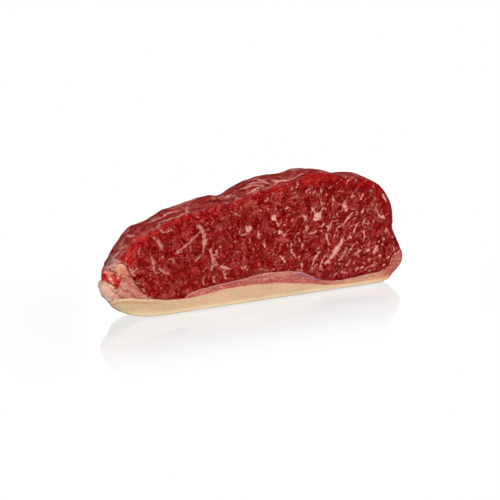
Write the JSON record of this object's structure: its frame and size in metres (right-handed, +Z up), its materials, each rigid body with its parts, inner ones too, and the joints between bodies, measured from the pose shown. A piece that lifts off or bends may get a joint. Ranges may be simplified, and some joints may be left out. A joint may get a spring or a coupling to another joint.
{
  "type": "rump steak",
  "caption": "Thick raw boneless steak on its straight fat edge: marbled red lean, pink seam fat, cream fat cap and a thin fatty tail.",
  "frame": {"origin": "bottom centre of the steak, on the surface its fat edge stands on", "axes": "+X along the length from the thin tail to the blunt end, +Y from the front cut face to the back one, +Z up"},
  "size_m": [0.2066, 0.0294, 0.0778],
  "materials": {
    "lean": "wet raw red muscle with fine pale marbling",
    "tail_lean": "wet bright red muscle",
    "nub_fat": "moist soft fat, peach",
    "tail_fat": "moist fat and connective tissue, pink",
    "seam_fat": "moist connective tissue, pink with a bluish vein",
    "cap_fat": "waxy cream fat, yellower at the tail and the foot"
  },
  "bodies": {
    "root": {"lean_muscle": "lean", "tail_nub": "nub_fat", "tail_muscle": "tail_lean", "tail_fat": "tail_fat", "seam_fat": "seam_fat", "fat_cap": "cap_fat"}
  },
  "joints": []
}
